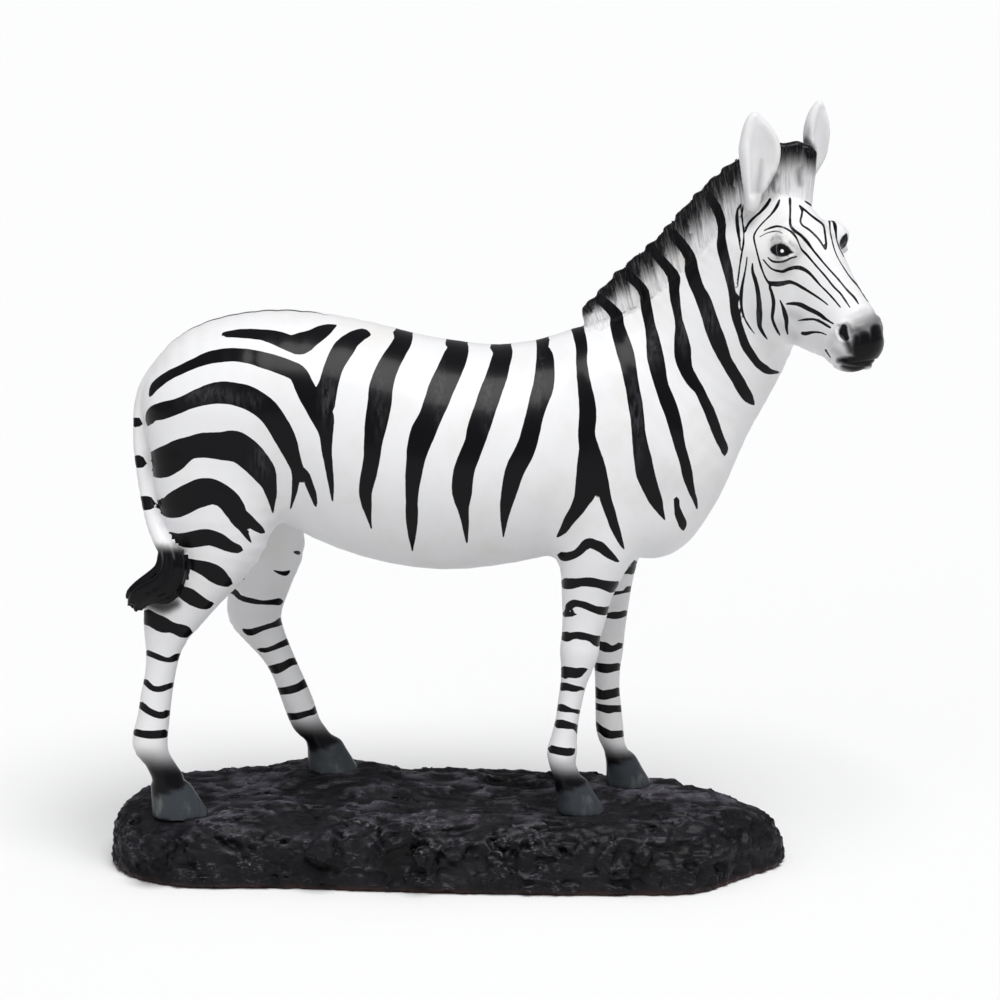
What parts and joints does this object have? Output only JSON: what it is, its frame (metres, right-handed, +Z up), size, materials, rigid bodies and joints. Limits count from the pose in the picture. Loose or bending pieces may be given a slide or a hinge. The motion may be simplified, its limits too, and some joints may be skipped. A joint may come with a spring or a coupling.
{
  "type": "zebra figurine",
  "caption": "Painted resin zebra standing on a rock plinth, head turned to its right.",
  "frame": {"origin": "middle of the plinth's outline, on its flat underside", "axes": "+X the way the zebra stands, +Z up, +Y to the zebra's left, away from the side its head turns to"},
  "size_m": [0.2976, 0.1023, 0.2999],
  "materials": {
    "painted_zebra": "satin",
    "painted_rock": "satin"
  },
  "bodies": {
    "root": {"zebra": "painted_zebra", "rock_plinth": "painted_rock"}
  },
  "joints": []
}
